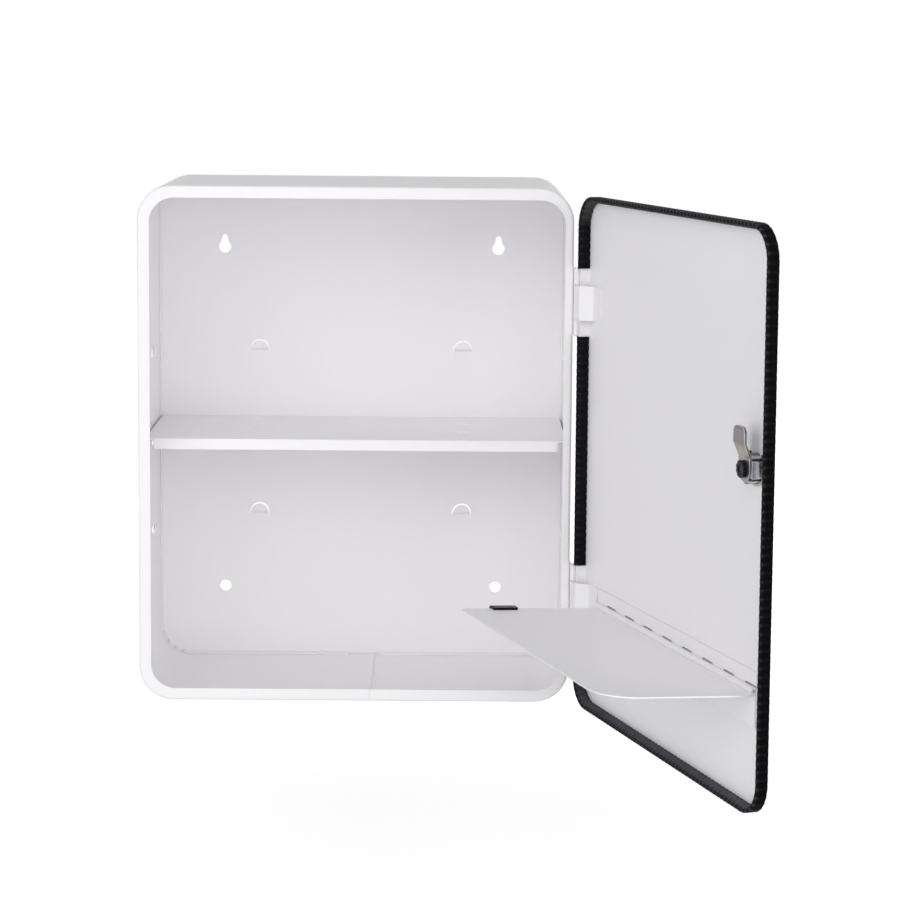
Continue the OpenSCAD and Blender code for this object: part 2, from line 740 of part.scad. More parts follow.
// The cam points up while the lock is open
module lock_cam() color(steel) at_lock()
    difference() {
        intersection() {
            translate([-cam_w, 0, 0]) rotate([90, 0, 90]) linear_extrude(2 * cam_w) cam_bend();
            linear_extrude(2 * nut_start) union() {
                circle(cam_root_r);
                translate([-cam_w / 2, -cam_l + cam_tip_r]) square([cam_w, cam_l - cam_tip_r]);
                translate([-cam_w / 2 + cam_tip_r, -cam_l]) square([cam_w - 2 * cam_tip_r, cam_l]);
                for (x = [-1, 1])
                    translate([x * (cam_w / 2 - cam_tip_r), -cam_l + cam_tip_r]) circle(cam_tip_r);
            }
        }
        translate([-square_w / 2 - seat / 2, -square_w / 2 - seat / 2, 0])
            cube([square_w + seat, square_w + seat, 2 * nut_start]);
    }

// Side view of the cam: X downwards, Y inwards
module cam_bend()
    let (a = cam_start, b = cam_start + cam_crank)
        polygon([[cam_root_r + 1, a], [-crank_start, a], [-crank_end, b], [-cam_l - 1, b],
                 [-cam_l - 1, b + cam_t], [-crank_end - cam_t / 4, b + cam_t],
                 [-crank_start - cam_t / 4, a + cam_t], [cam_root_r + 1, a + cam_t]]);

module lock_cam_nut() color(black) at_lock()
    translate([0, 0, nut_start]) difference() {
        cylinder(r = nut_r, h = nut_h);
        translate([0, 0, -1]) cylinder(r = stud_r + running, h = nut_h + 2);
        for (i = [0:nut_notches - 1])
            rotate([0, 0, i * 360 / nut_notches]) translate([nut_r, 0, nut_h / 2])
                cube([1.2, 1.1, nut_h + 2], center = true);
    }

casing_band();
back_panel();
shelf();
door_panel();
door_edge_trim();
door_edge_trim_hinge_side();
upper_hinge_case_leaf();
upper_hinge_door_strap();
upper_hinge_pin();
lower_hinge_case_leaf();
lower_hinge_door_strap();
lower_hinge_pin();
tray_hinge_door_leaf();
tray_hinge_tray_leaf();
tray_hinge_pin();
tray();
tray_edge_clip();
lock_barrel();
lock_spring_clip();
lock_plug();
lock_cam();
lock_cam_nut();
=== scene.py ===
# Lockable medicine cabinet in white powder-coated sheet steel, door open, tray down.
# Looks only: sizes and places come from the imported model.
import json
import math
import bmesh
import bpy
import numpy as np
from mathutils import Matrix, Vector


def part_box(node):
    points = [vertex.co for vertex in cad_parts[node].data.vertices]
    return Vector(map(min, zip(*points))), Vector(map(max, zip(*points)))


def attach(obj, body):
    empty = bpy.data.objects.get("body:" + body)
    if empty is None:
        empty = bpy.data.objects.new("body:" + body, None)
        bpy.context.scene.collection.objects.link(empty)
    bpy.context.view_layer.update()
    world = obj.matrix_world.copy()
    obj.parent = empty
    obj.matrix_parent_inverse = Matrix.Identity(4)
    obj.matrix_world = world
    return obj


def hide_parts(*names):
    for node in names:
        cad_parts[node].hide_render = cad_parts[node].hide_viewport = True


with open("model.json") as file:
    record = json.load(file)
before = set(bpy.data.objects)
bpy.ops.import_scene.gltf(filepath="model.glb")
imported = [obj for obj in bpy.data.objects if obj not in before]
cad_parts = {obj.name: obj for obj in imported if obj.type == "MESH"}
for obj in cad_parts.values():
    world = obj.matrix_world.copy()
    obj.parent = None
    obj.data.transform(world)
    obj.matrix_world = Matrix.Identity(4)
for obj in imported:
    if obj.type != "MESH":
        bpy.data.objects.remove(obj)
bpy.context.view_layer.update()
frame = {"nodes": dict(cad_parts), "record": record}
nodes = frame["nodes"]
print("loaded", len(nodes), "nodes")


class Sock:
    # one output of a shader node; sums on it add Math nodes
    def __init__(self, finish, socket):
        self.finish = finish
        self.socket = socket

    def calc(self, operation, a, b):
        return self.finish.add("ShaderNodeMath", {"operation": operation}, {0: a, 1: b})

    def __add__(self, other):
        return self.calc("ADD", self, other)

    def __radd__(self, other):
        return self.calc("ADD", other, self)

    def __sub__(self, other):
        return self.calc("SUBTRACT", self, other)

    def __rsub__(self, other):
        return self.calc("SUBTRACT", other, self)

    def __mul__(self, other):
        return self.calc("MULTIPLY", self, other)

    def __rmul__(self, other):
        return self.calc("MULTIPLY", other, self)

    def __truediv__(self, other):
        return self.calc("DIVIDE", self, other)

    def __rtruediv__(self, other):
        return self.calc("DIVIDE", other, self)


class Finish:
    # a material, or the world, whose nodes are added one call at a time
    def __init__(self, name="", world=None):
        self.material = world or bpy.data.materials.new(name)
        self.material.use_nodes = True
        self.tree = self.material.node_tree
        self.tree.nodes.clear()

    def add(self, kind, settings=None, values=None, out=0):
        node = self.tree.nodes.new(kind)
        for key, value in (settings or {}).items():
            if key == "stops":                        # colour ramp: list of (place, colour)
                ramp = node.color_ramp
                while len(ramp.elements) < len(value):
                    ramp.elements.new(0.5)
                for element, (place, colour) in zip(ramp.elements, value):
                    element.position = place
                    element.color = colour
            else:
                setattr(node, key, value)
        for key, value in (values or {}).items():
            if isinstance(value, Sock):
                self.tree.links.new(value.socket, node.inputs[key])
            else:
                node.inputs[key].default_value = value
        return Sock(self, node.outputs[out]) if len(node.outputs) > out else None

    def outputs(self, kind, *names):
        node = self.add(kind).socket.node
        return [Sock(self, node.outputs[name]) for name in names]

    def height(self):
        # object coordinate z, in metres
        node = self.add("ShaderNodeSeparateXYZ", None, {0: self.place()}).socket.node
        return Sock(self, node.outputs["Z"])

    def place(self):
        return self.add("ShaderNodeTexCoord", out=3)  # object coordinates, in metres

    def pointValue(self, name):
        # number stored on the points of a piece's mesh
        return self.add("ShaderNodeAttribute", {"attribute_name": name}, out=2)

    def noise(self, scale, detail=2.0, rough=0.5, at=None):
        return self.add("ShaderNodeTexNoise", None,
                        {"Vector": at or self.place(), "Scale": scale, "Detail": detail, "Roughness": rough})

    def mixColour(self, factor, a, b):
        return self.add("ShaderNodeMix", {"data_type": "RGBA"}, {0: factor, 6: a, 7: b}, out=2)

    def ramp(self, factor, stops):
        return self.add("ShaderNodeValToRGB", {"stops": [(place, shade(colour)) for place, colour in stops]},
                        {0: factor})

    def edges(self, radius, least, most):
        # 1 along edges, 0 on the open face: how far the rounded normal turns from the true one
        rounded = self.roundedEdges(radius)
        flat = self.outputs("ShaderNodeNewGeometry", "True Normal")[0]
        same = self.add("ShaderNodeVectorMath", {"operation": "DOT_PRODUCT"}, {0: rounded, 1: flat}, out=1)
        return self.add("ShaderNodeMapRange", None, {0: 1 - same, 1: least, 2: most})

    def roundedEdges(self, radius):
        return self.add("ShaderNodeBevel", {"samples": 4}, {"Radius": radius})

    def bump(self, height, strength, distance, normal=None):
        values = {"Height": height, "Strength": strength, "Distance": distance}
        if normal:
            values["Normal"] = normal
        return self.add("ShaderNodeBump", None, values)

    def done(self, **values):
        shader = self.add("ShaderNodeBsdfPrincipled", None,
                          {key.replace("_", " "): value for key, value in values.items()})
        self.add("ShaderNodeOutputMaterial", None, {0: shader})
        return self.material


def shade(colour, level=1.0):
    return tuple(min(1.0, part * level) for part in colour) + (1.0,)


def grey(level):
    return shade((level, level, level))


powderCoat = {
    "colour": (0.935, 0.926, 0.946), "cloudSize": 9, "cloudDepth": 0.015,
    "roughness": 0.42, "cloudRough": 0.10, "fineRough": 0.08, "gloss": 0.3,
    "peelSize": 620, "fineSize": 1922.0, "fineShare": 0.25, "peelStrength": 0.35, "peelDepth": 0.00006,
    "edge": 0.00035,
}


def makePowderCoat():
    # thick white powder coat: faint orange peel, edges softly rounded
    p = powderCoat
    f = Finish("whitePowderCoat")
    cloud = f.noise(p["cloudSize"], 3)
    peel = f.noise(p["peelSize"], 1.5)
    fine = f.noise(p["fineSize"], 1)
    tone = f.mixColour(cloud, shade(p["colour"], 1 - p["cloudDepth"]),
                       shade(p["colour"], 1 + p["cloudDepth"]))
    rough = p["roughness"] + (cloud - 0.5) * p["cloudRough"] + (fine - 0.5) * p["fineRough"]
    normal = f.bump(peel + fine * p["fineShare"], p["peelStrength"], p["peelDepth"],
                    f.roundedEdges(p["edge"]))
    return f.done(Base_Color=tone, Roughness=rough, Normal=normal, Specular_IOR_Level=p["gloss"])


blackTrim = {
    "colour": (0.0022, 0.0022, 0.0025), "cloudSize": 160, "darkest": 0.7, "lightest": 1.4,
    "rubbed": (0.085, 0.085, 0.094), "paintedLightLeast": 0.6, "paintedLightSpread": 0.8,
    "gloss": 0.012, "roughness": 0.5, "cloudRough": 0.16,
    "grainSize": 2600, "grainStrength": 0.25, "grainDepth": 0.00005,
}


def makeBlackTrim():
    # flexible black edging with a slightly uneven skin, lightened by painted highlights on the ribs and
    # painted light on the legs, from the piece's own attribute
    b = blackTrim
    f = Finish("blackTrimVinyl")
    cloud = f.noise(b["cloudSize"], 3)
    grain = f.noise(b["grainSize"], 2)
    skin = f.mixColour(cloud, shade(b["colour"], b["darkest"]), shade(b["colour"], b["lightest"]))
    # painted highlights on the ribs and painted light on the level runs' leg, as stored on the points
    share = f.pointValue("rubbed") * (b["paintedLightLeast"] + cloud * b["paintedLightSpread"])
    return f.done(Base_Color=f.mixColour(share, skin, shade(b["rubbed"])),
                  Roughness=b["roughness"] + (cloud - 0.5) * b["cloudRough"],
                  Normal=f.bump(grain, b["grainStrength"], b["grainDepth"]),
                  Specular_IOR_Level=b["gloss"])


# two black finishes: moulded gloss on the tray's clip, blackened steel on the lock's nut
clipBlack = {
    "cloudSize": 300, "detail": 2, "darkest": 0.004, "lightest": 0.009, "metal": 0.0, "gloss": 0.05,
    "roughness": 0.16, "cloudRough": 0.08, "bump": 0.15, "depth": 0.00005, "edge": 0.0004,
}
nutBlack = {
    "cloudSize": 500, "detail": 3, "darkest": 0.006, "lightest": 0.028, "metal": 0.7, "gloss": 0.15,
    "roughness": 0.34, "cloudRough": 0.2, "bump": 0.3, "depth": 0.00005, "edge": 0.0003,
}


def makeBlack(name, look):
    f = Finish(name)
    cloud = f.noise(look["cloudSize"], look["detail"])
    return f.done(Base_Color=f.mixColour(cloud, grey(look["darkest"]), grey(look["lightest"])),
                  Metallic=look["metal"], Specular_IOR_Level=look["gloss"],
                  Roughness=look["roughness"] + (cloud - 0.5) * look["cloudRough"],
                  Normal=f.bump(cloud, look["bump"], look["depth"], f.roundedEdges(look["edge"])))


metalSkin = {
    "cloudSize": 220, "dull": (0.1, 0.1, 0.1), "dullShare": 0.3,
    "glintReach": 2.5, "glintLeast": 0.02, "glintMost": 0.25,
    "streakRough": 0.16, "cloudRough": 0.08, "bump": 0.2, "depth": 0.00004,
}


def makeMetal(name, colour, roughness, grain, stretch, edge, glint=0.0):
    # plated or bare steel; grain is drawn out along one axis by stretch, edges get a painted highlight of
    # the strength given last
    m = metalSkin
    f = Finish(name)
    at = f.add("ShaderNodeMapping", None, {"Vector": f.place(), "Scale": stretch})
    streak = f.noise(grain, detail=3, rough=0.6, at=at)
    cloud = f.noise(m["cloudSize"], 3)
    plain = colour(f) if callable(colour) else shade(colour)
    tone = f.mixColour(cloud * m["dullShare"], plain, shade(m["dull"]))
    if glint:
        # painted highlight along the edges, from the rounded normal
        glinting = f.edges(edge * m["glintReach"], m["glintLeast"], m["glintMost"])
        tone = f.mixColour(glinting * glint, tone, shade(lockTones["rubbed"]))
    rough = roughness + (streak - 0.5) * m["streakRough"] + (cloud - 0.5) * m["cloudRough"]
    return f.done(Base_Color=tone, Metallic=1.0, Roughness=rough,
                  Normal=f.bump(streak, m["bump"], m["depth"], f.roundedEdges(edge)))


# the lock's tones by height over its axis, in the lock's own place on the door; the barrel's and the clip's
# bands are painted highlights and painted shade, and the colour for edges is a painted highlight
lockTones = {
    "axisZ": 0.030, "reach": 0.026, "clipReach": 0.011, "rubbed": (0.86, 0.93, 0.92),
    "cam": [(0.0, (0.42, 0.41, 0.42)), (0.30, (0.50, 0.49, 0.48)), (0.45, (0.52, 0.50, 0.42)),
            (0.62, (0.34, 0.31, 0.31)), (0.90, (0.36, 0.33, 0.34)), (1.0, (0.22, 0.20, 0.22))],
    "barrel": [(0.0, (0.86, 0.84, 0.93)), (0.19, (0.86, 0.84, 0.93)), (0.215, (0.02, 0.02, 0.025)),
               (0.25, (0.04, 0.04, 0.05)), (0.28, (0.85, 0.82, 0.86)), (0.34, (0.16, 0.15, 0.16))],
    "clip": [(0.0, (0.60, 0.72, 0.58)), (0.30, (0.30, 0.36, 0.30)), (0.5, (0.02, 0.03, 0.025)),
             (0.9, (0.02, 0.035, 0.03)), (1.0, (0.05, 0.12, 0.09))],
}


def camTone(f):
    # warmest part of the way up, dark at the tip
    return f.ramp((f.height() - lockTones["axisZ"]) / lockTones["reach"], lockTones["cam"])


def barrelTone(f):
    # painted highlight on the flats, painted shade where they meet the round parts
    height = f.height() - lockTones["axisZ"]
    return f.ramp(height.calc("ABSOLUTE", height, 0) / lockTones["reach"], lockTones["barrel"])


def clipTone(f):
    # painted highlight, pale green, on the lower end; painted shade over the middle and the top
    height = f.height() - lockTones["axisZ"]
    return f.ramp(height / (2 * lockTones["clipReach"]) + 0.5, lockTones["clip"])


finishes = {
    "white_powder_coat": makePowderCoat(),
    "black_edge_trim": makeBlackTrim(),
    "black_clip": makeBlack("glossBlackClip", clipBlack),
    "hinge_pin_steel": makeMetal("drawnWire", (0.62, 0.61, 0.59), roughness=0.32, grain=900,
                                 stretch=(1, 1, 0.1), edge=0.0002),
    "lock_nut_black": makeBlack("blackenedSteel", nutBlack),
}
slotOf = {part["node"]: part["material_slot"] for part in frame["record"]["subparts"]}
lockFinishes = {
    "lock_cam": makeMetal("paintedLightCam", camTone, roughness=0.34, grain=1200, stretch=(1, 1, 0.12),
                          edge=0.0003, glint=0.9),
    "lock_barrel": makeMetal("barrelPlate", barrelTone, roughness=0.24, grain=700, stretch=(1, 1, 1),
                             edge=0.0003, glint=0.35),
    "lock_spring_clip": makeMetal("springClipSteel", clipTone, roughness=0.22, grain=900,
                                  stretch=(1, 1, 1), edge=0.0002, glint=0.35),
    "lock_plug": makeMetal("darkPlug", (0.06, 0.06, 0.065), roughness=0.4, grain=900,
                           stretch=(1, 1, 1), edge=0.0002),
}
for name, node in nodes.items():
    for place in node.material_slots:
        place.material = lockFinishes.get(name) or finishes[slotOf[name]]
print("finishes set")

# On the door, s runs from the hinge-side edge towards the free edge, n inwards from the outer face.
door = {
    "width": 0.296, "height": 0.3536, "drop": 0.001, "corner": 0.022,
    "edgeX": 0.149, "faceY": -0.150,                  # hinge-side edge and outer face, door shut
    "pinX": 0.1522, "pinY": -0.1424, "open": 108.8,
    "hingeInset": 0.0736, "hingeGap": 0.047,
}


def onDoor(s, n, z):
    # place on the shut door, then turned about the hinge pins
    x = door["edgeX"] - s - door["pinX"]
    y = door["faceY"] + n - door["pinY"]
    a = math.radians(door["open"])
    return np.stack([door["pinX"] + x * math.cos(a) - y * math.sin(a),
                     door["pinY"] + x * math.sin(a) + y * math.cos(a), z + 0 * x], -1)


def intoScene(mesh, finish):
    # an object at the origin that shows the mesh in one finish
    shown = bpy.data.objects.new(mesh.name, mesh)
    bpy.context.scene.collection.objects.link(shown)
    mesh.materials.append(finish)
    return shown


trim = {
    "half": 0.0020, "wall": 0.0015, "top": 0.0087, "legOut": 0.0012, "legIn": 0.0011, "slot": 0.0072,
    "roundIn": 0.0030, "roundOut": 0.0006,            # crown corners, on the panel's side and outside
    "pitch": 0.0052, "dent": 0.00020, "toeDent": 0.00040, "notch": 0.6, "shortest": 0.0002,
    "samples": (0, 0.05, 0.12, 0.22, 0.36, 0.5, 0.64, 0.78, 0.88, 0.95),
    "sharp": 50,                                      # degrees, over which an edge is drawn sharp
    # painted highlight on each rib, by the section's parts, and painted light all along the legs
    "paintedLightOut": 0.09, "paintedLightCorner": 0.6, "paintedLightLeg": 0.08,
    "paintedLightCrown": (0.6, 0.4, 0.1, 0.4, 0.4, 0.3, 0.2, 0.2, 0.1), "legFade": (-0.2, 1.2), "toeTone": 0.3,
    "lineWidth": 10, "between": 0.12,
    "uprightRibs": 0.7, "levelRibs": 0.8, "uprightLeg": 0.06, "levelLeg": 0.84,
}


def trimSection():
    # closed U section as (out, n), anticlockwise; how far each point sinks between ribs; how much painted
    # highlight it gets on each rib, and how much painted light all along the leg on the panel's side
    half, top, wall, slot = trim["half"], trim["top"], trim["wall"], trim["slot"]
    turn = np.linspace(0, math.pi / 2, 5)
    outer = np.stack([half + 0 * turn[:4], np.linspace(trim["legOut"], top - trim["roundOut"], 5)[:4]], -1)
    cornerOut = np.array([half - trim["roundOut"], top - trim["roundOut"]]) \
        + trim["roundOut"] * np.stack([np.cos(turn), np.sin(turn)], -1)
    turn = np.linspace(math.pi / 2, math.pi, 9)
    cornerIn = np.array([trim["roundIn"] - half, top - trim["roundIn"]]) \
        + trim["roundIn"] * np.stack([np.cos(turn), np.sin(turn)], -1)
    inner = np.stack([-half + 0 * turn[:4], np.linspace(top - trim["roundIn"], trim["legIn"], 5)[1:]], -1)
    slotSide = np.array([[wall - half, trim["legIn"]], [wall - half, slot],
                         [half - wall, slot], [half - wall, trim["legOut"]]])
    section = np.concatenate([outer, cornerOut, cornerIn, inner, slotSide])
    along = np.roll(section, -1, 0) - np.roll(section, 1, 0)
    inwards = np.stack([-along[:, 1], along[:, 0]], -1) / np.linalg.norm(along, axis=1)[:, None]
    inwards[[-4, -1]] = (0, 1)                        # the legs' inner corners only rise
    inwards[-3:-1] = 0
    inwards *= trim["dent"]
    inwards[-5] = (0.5 * trim["toeDent"], trim["toeDent"])
    inwards[-4] = (0, trim["toeDent"])
    ribbed = np.concatenate([[trim["paintedLightOut"]] * 4, [trim["paintedLightCorner"]] * 5, trim["paintedLightCrown"],
                             [trim["paintedLightLeg"]] * 8])
    even = np.concatenate([[0.0] * 9, np.linspace(*trim["legFade"], 9).clip(0, 1),
                           [1, 1, 1, trim["toeTone"]], [0] * 4])
    return section, inwards, ribbed, even


def ribSteps(size):
    # places along the trim: the same uneven steps in every rib, and the end
    ribs = np.arange(math.ceil(size / trim["pitch"]))[:, None] + np.array(trim["samples"])[None, :]
    steps = ribs.ravel() * trim["pitch"]
    return np.append(steps[steps < size - trim["shortest"]], size)


def trimPath(stretches):
    # straight lines and quarter arcs; gives place, outward direction and length so far
    sizes = [abs(b - a) * radius if centre else np.linalg.norm(np.subtract(b, a))
             for a, b, centre, radius in stretches]
    starts = np.cumsum([0.0] + sizes[:-1])
    length = ribSteps(sum(sizes))
    which = np.searchsorted(starts, length, side="right") - 1
    place = np.zeros((len(length), 2))
    out = np.zeros((len(length), 2))
    for k, (a, b, centre, radius) in enumerate(stretches):
        mine = which == k
        t = ((length[mine] - starts[k]) / sizes[k])[:, None]
        if centre:
            turn = a + (b - a) * t
            out[mine] = np.concatenate([np.cos(turn), np.sin(turn)], 1)
            place[mine] = np.array(centre) + radius * out[mine]
        else:
            along = np.subtract(b, a) / sizes[k]
            out[mine] = [along[1], -along[0]]
            place[mine] = np.array(a) * (1 - t) + np.array(b) * t
    return place, out, length


def sweptTrim(name, stretches):
    # section carried along the path; its skin sinks by 1 - |sin(pi length / pitch)| ^ notch, and the
    # painted highlight line on each rib is |sin| ^ lineWidth; painted light makes the leg on the panel's
    # side paler on the level runs
    section, inwards, ribbed, even = trimSection()
    place, out, length = trimPath(stretches)
    count, rows = len(section), len(place)
    wave = np.abs(np.sin(math.pi * length / trim["pitch"]))
    level = np.abs(out[:, 1:])                        # 1 on the level runs, 0 on the upright ones
    line = trim["between"] + (1 - trim["between"]) * wave[:, None] ** trim["lineWidth"]
    # painted highlight lines on the ribs, and painted light on the panel-side leg of the level runs
    rubbed = ribbed[None, :] * line * (trim["uprightRibs"] + trim["levelRibs"] * level) \
        + even[None, :] * (trim["uprightLeg"] + trim["levelLeg"] * level)
    sink = 1 - wave ** trim["notch"]
    sink = sink * np.clip(np.minimum(length, length[-1] - length) / trim["pitch"], 0, 1)
    a = section[None, :, 0] + inwards[None, :, 0] * sink[:, None]
    n = section[None, :, 1] + inwards[None, :, 1] * sink[:, None]
    s = place[:, None, 0] + out[:, None, 0] * a
    z = place[:, None, 1] + out[:, None, 1] * a
    grid = onDoor(s, n, z).reshape(-1, 3)
    i, j = np.meshgrid(np.arange(rows - 1), np.arange(count), indexing="ij")
    nextJ = (j + 1) % count
    quads = np.stack([i * count + j, (i + 1) * count + j, (i + 1) * count + nextJ, i * count + nextJ], -1)
    ends = [list(range(count)), list(range(rows * count - 1, (rows - 1) * count - 1, -1))]
    mesh = bpy.data.meshes.new(name)
    mesh.from_pydata(grid.tolist(), [], quads.reshape(-1, 4).tolist() + ends)
    mesh.polygons.foreach_set("use_smooth", [True] * len(mesh.polygons))
    mesh.set_sharp_from_angle(angle=math.radians(trim["sharp"]))
    mesh.attributes.new("rubbed", "FLOAT", "POINT").data.foreach_set("value", rubbed.ravel())
    mesh.update()
    print(name, len(quads.reshape(-1, 4)) * 2, "triangles")
    return mesh


def doorEdgeRuns():
    # the door's flange line as stretches: round the door from hinge to hinge, and between the hinges
    middle = trim["half"]                             # flange's middle, from the door's edge
    radius = door["corner"] - middle
    low = -door["drop"] - door["height"] / 2
    high = -door["drop"] + door["height"] / 2
    sLow, sHigh = middle, door["width"] - middle
    zLow, zHigh = low + middle, high - middle
    sNear, sFar = door["corner"], door["width"] - door["corner"]
    zNear, zFar = low + door["corner"], high - door["corner"]
    upper = high - door["hingeInset"]
    lower = low + door["hingeInset"]
    gap = door["hingeGap"] / 2
    longRun = [
        ((sLow, lower - gap), (sLow, zNear), None, 0),
        (math.pi, 1.5 * math.pi, (sNear, zNear), radius),
        ((sNear, zLow), (sFar, zLow), None, 0),
        (-0.5 * math.pi, 0.0, (sFar, zNear), radius),
        ((sHigh, zNear), (sHigh, zFar), None, 0),
        (0.0, 0.5 * math.pi, (sFar, zFar), radius),
        ((sFar, zHigh), (sNear, zHigh), None, 0),
        (0.5 * math.pi, math.pi, (sNear, zFar), radius),
        ((sLow, zFar), (sLow, upper + gap), None, 0),
    ]
    shortRun = [((sLow, upper - gap), (sLow, lower + gap), None, 0)]
    return longRun, shortRun


longRun, shortRun = doorEdgeRuns()
for name, run, node in (("ribbedTrimLong", longRun, "door_edge_trim"),
                        ("ribbedTrimShort", shortRun, "door_edge_trim_hinge_side")):
    piece = intoScene(sweptTrim(name, run), finishes["black_edge_trim"])
    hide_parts(node)
    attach(piece, "door")
print("edge trim made")

# The tray's hinge, by n and z from its pivot: painted shade as dark flat bars on the door leaf where the
# slits over the tray's knuckles show shade, and the thick coat that fills the corner between the knuckles
# and the tray.
trayHinge = {
    "pivotN": 0.0031, "start": 0.030, "length": 0.249, "knuckles": 16,
    "leafFace": -0.0014, "windowLow": 0.0024, "windowHigh": 0.0030, "windowEnd": 0.0009, "proud": 0.00008,
    "coatR": 0.0023, "coatFrom": -95, "coatTo": -32, "coatFoot": 0.0034, "knee": 0.0001,
    "roundPoints": 12, "hollowPoints": 7,
    "trayTop": -0.0025, "trayBack": -0.0013, "trayRise": 3.5, "sunk": 0.0002,
    "darkest": 0.13, "lightest": 0.42, "cloudSize": 900, "cloudDepth": 0.3, "roughness": 0.7, "gloss": 0.1,
}


def barsOnDoor(name, profile, spans, body, finish):
    # one closed profile, as (n, z) from the tray's pivot, carried straight along each span of s
    low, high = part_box("tray_hinge_pin")
    pivotZ = (low[2] + high[2]) / 2
    profile = np.array(profile)
    spans = np.array(spans)
    count, bars = len(profile), len(spans)
    s = np.repeat(spans[:, :, None], count, 2)
    n = trayHinge["pivotN"] + profile[None, None, :, 0] + 0 * s
    z = pivotZ + profile[None, None, :, 1] + 0 * s
    grid = onDoor(s, n, z).reshape(-1, 3)
    bar, j = np.meshgrid(np.arange(bars) * 2 * count, np.arange(count), indexing="ij")
    nextJ = (j + 1) % count
    quads = np.stack([bar + j, bar + nextJ, bar + count + nextJ, bar + count + j], -1).reshape(-1, 4)
    caps = [list(range(k * count, (k + 1) * count))[::1 if k % 2 else -1] for k in range(2 * bars)]
    mesh = bpy.data.meshes.new(name)
    mesh.from_pydata(grid.tolist(), [], quads.tolist() + caps)
    shape = bmesh.new()
    shape.from_mesh(mesh)
    bmesh.ops.recalc_face_normals(shape, faces=shape.faces)
    shape.to_mesh(mesh)
    shape.free()
    along = np.tile(np.repeat([0.0, 1.0], count), bars)
    mesh.attributes.new("along", "FLOAT", "POINT").data.foreach_set("value", along)
    piece = intoScene(mesh, finish)
    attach(piece, body)


def makeWindowShade():
    # painted shade: a dark bar in a slit of the leaf, darkest at the end nearer the case
    h = trayHinge
    f = Finish("leafWindowShade")
    share = f.pointValue("along") + (f.noise(h["cloudSize"], 2) - 0.5) * h["cloudDepth"]
    return f.done(Base_Color=f.mixColour(share, grey(h["darkest"]), grey(h["lightest"])),
                  Roughness=h["roughness"], Specular_IOR_Level=h["gloss"])


def makeTrayHinge():
    # windows: painted shade, a flat dark bar over every second knuckle; coat: an arc round the pivot, then a
    # hollow curve from the arc's end to the foot, (1 - t)^2 end + 2 t (1 - t) knee + t^2 foot
    h = trayHinge
    pitch = h["length"] / h["knuckles"]
    starts = h["start"] + h["length"] - pitch * (1 + np.arange(0, h["knuckles"], 2))
    spans = np.stack([starts + h["windowEnd"], starts + pitch - h["windowEnd"]], -1)
    face, proud = h["leafFace"], h["proud"]
    window = [(face - proud, h["windowLow"]), (face + proud, h["windowLow"]),
              (face + proud, h["windowHigh"]), (face - proud, h["windowHigh"])]
    barsOnDoor("paintedSlitShade", window, spans, "door", makeWindowShade())
    turn = np.radians(np.linspace(h["coatFrom"], h["coatTo"], h["roundPoints"]))
    arc = h["coatR"] * np.stack([np.cos(turn), np.sin(turn)], -1)
    rise = math.tan(math.radians(h["trayRise"]))
    foot = np.array([h["coatFoot"], h["trayTop"] + (h["coatFoot"] - h["trayBack"]) * rise])
    knee = np.array([arc[-1, 0] + h["knee"], foot[1] + h["knee"]])
    t = np.linspace(0, 1, h["hollowPoints"])[1:, None]
    hollow = (1 - t) ** 2 * arc[-1] + 2 * t * (1 - t) * knee + t ** 2 * foot
    under = np.array([foot - (0, h["sunk"]),
                      (arc[0, 0], h["trayTop"] + (arc[0, 0] - h["trayBack"]) * rise - h["sunk"])])
    coat = np.concatenate([arc, hollow, under])
    barsOnDoor("trayCoatFillet", coat, [(h["start"], h["start"] + h["length"])], "tray",
               finishes["white_powder_coat"])


makeTrayHinge()
print("tray hinge dressed")

studio = {
    "floorZ": -0.42, "floorSize": 6.0, "floorTone": (0.86, 0.86, 0.87), "floorCloud": 3, "floorDark": 0.99,
    "glowNear": 0.54, "glowFar": 0.85, "fadeFrom": 0.6, "fadeTo": 1.3,
    "world": 0.28, "worldTone": (0.99, 0.99, 1.0),
    "lampTone": (1, 0.995, 0.985), "lampAim": (0.05, -0.1, 0), "lampReach": 2.6,
    "lamps": {                                        # azimuth and elevation in degrees, size, power
        "leftLight": (-45, 12, 2.0, 19.0),
        "highLight": (0, 38, 2.0, 14.0),
        "frontLight": (0, 6, 2.0, 8.5),
        "lowLight": (35, 2, 1.0, 14.5),
        "rearLeftLight": (-140, 5, 1.6, 12.0),
        "rearRightLight": (140, 5, 1.6, 16.0),
    },
}


def seenWhite(f):
    # 1 for what the camera sees straight, mirrored or through glass, 0 for the light that falls on things
    straight, mirrored, through = f.outputs("ShaderNodeLightPath", "Is Camera Ray", "Is Glossy Ray",
                                            "Is Transmission Ray")
    return straight.calc("MAXIMUM", straight.calc("MAXIMUM", straight, mirrored), through)


def stageFloor():
    # plain matt floor that keeps the shadow and glows, to the camera only, more with distance
    size, low = studio["floorSize"], studio["floorZ"]
    mesh = bpy.data.meshes.new("studioFloor")
    mesh.from_pydata([(-size, -size, low), (size, -size, low), (size, size, low), (-size, size, low)],
                     [], [(0, 1, 2, 3)])
    f = Finish("paleFloor")
    tone = f.mixColour(f.noise(studio["floorCloud"], 2), shade(studio["floorTone"], studio["floorDark"]),
                       shade(studio["floorTone"]))
    matt = f.add("ShaderNodeBsdfDiffuse", None, {"Color": tone})
    away = f.add("ShaderNodeVectorMath", {"operation": "LENGTH"}, {0: f.place()}, out=1)
    fade = f.add("ShaderNodeMapRange", {"interpolation_type": "SMOOTHSTEP"},
                 {0: away, 1: studio["fadeFrom"], 2: studio["fadeTo"],
                  3: studio["glowNear"], 4: studio["glowFar"]})
    glow = f.add("ShaderNodeEmission", None, {"Color": (1, 1, 1, 1), "Strength": seenWhite(f) * fade})
    f.add("ShaderNodeOutputMaterial", None, {0: f.add("ShaderNodeAddShader", None, {0: matt, 1: glow})})
    floor = intoScene(mesh, f.material)


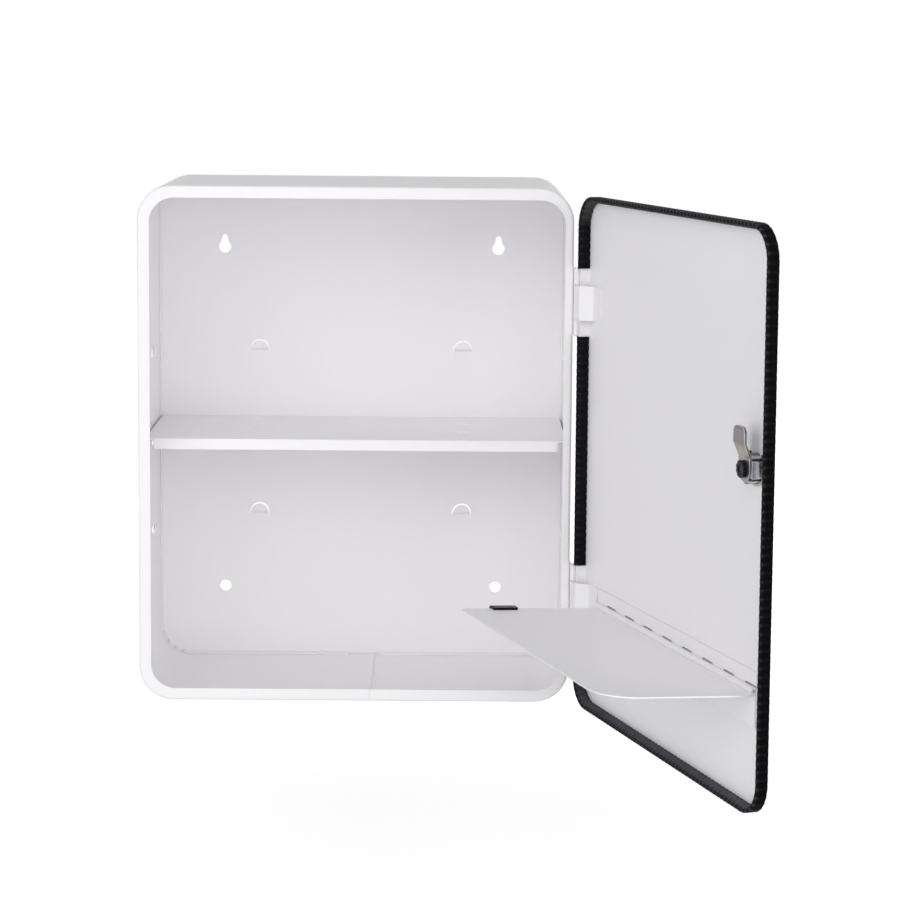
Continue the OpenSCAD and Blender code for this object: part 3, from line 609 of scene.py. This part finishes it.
def studioWorld():
    world = bpy.data.worlds.new("studioWorld")
    bpy.context.scene.world = world
    f = Finish(world=world)
    lit = f.add("ShaderNodeBackground", None, {0: shade(studio["worldTone"]), 1: studio["world"]})
    seen = f.add("ShaderNodeBackground", None, {0: (1, 1, 1, 1), 1: 1.0})
    both = f.add("ShaderNodeMixShader", None, {0: seenWhite(f), 1: lit, 2: seen})
    f.add("ShaderNodeOutputWorld", None, {0: both})


def aimFrom(thing, right, up, back, place):
    # sets an object's three axes and its place
    columns = [list(map(float, c)) for c in (right, up, back, place)]
    thing.matrix_world = Matrix([[c[row] for c in columns] for row in range(3)] + [[0, 0, 0, 1]])


def softLight(name, azimuth, elevation, size, power):
    # square lamp on a sphere round the middle of the object; azimuth 0 is straight in front
    lamp = bpy.data.lights.new(name, "AREA")
    lamp.shape = "SQUARE"
    lamp.size = size
    lamp.energy = power
    lamp.color = studio["lampTone"]
    holder = bpy.data.objects.new(name, lamp)
    bpy.context.scene.collection.objects.link(holder)
    turn, rise = math.radians(azimuth), math.radians(elevation)
    right = np.array([math.cos(turn), math.sin(turn), 0])
    back = np.array([math.sin(turn) * math.cos(rise), -math.cos(turn) * math.cos(rise), math.sin(rise)])
    place = np.array(studio["lampAim"]) + studio["lampReach"] * back
    aimFrom(holder, right, np.cross(back, right), back, place)


# fitted to the edges of the case and the door in the photo; yaw and roll in radians, pitch in degrees
camera = {
    "lens": 102.3, "sensor": 36.0, "shiftY": -0.123, "near": 0.05, "far": 50,
    "place": (0.0607, -1.9244, 0.2804), "yaw": -0.0061, "pitch": 6.7, "roll": 0.0086,
}


def setCamera():
    data = bpy.data.cameras.new("photoCamera")
    data.lens = camera["lens"]
    data.sensor_width = camera["sensor"]
    data.shift_y = camera["shiftY"]
    data.clip_start = camera["near"]
    data.clip_end = camera["far"]
    eye = bpy.data.objects.new("photoCamera", data)
    bpy.context.scene.collection.objects.link(eye)
    yaw, pitch, roll = camera["yaw"], math.radians(camera["pitch"]), camera["roll"]
    across = np.array([math.cos(yaw), math.sin(yaw), 0])
    ahead = np.array([-math.sin(yaw) * math.cos(pitch), math.cos(yaw) * math.cos(pitch), -math.sin(pitch)])
    above = np.array([-math.sin(yaw) * math.sin(pitch), math.cos(yaw) * math.sin(pitch), math.cos(pitch)])
    right = across * math.cos(roll) + above * math.sin(roll)
    up = above * math.cos(roll) - across * math.sin(roll)
    aimFrom(eye, right, up, -ahead, camera["place"])
    bpy.context.scene.camera = eye


stageFloor()
studioWorld()
for name, lamp in studio["lamps"].items():
    softLight(name, *lamp)
setCamera()
bpy.context.scene.view_settings.view_transform = "Standard"
print("stage set")
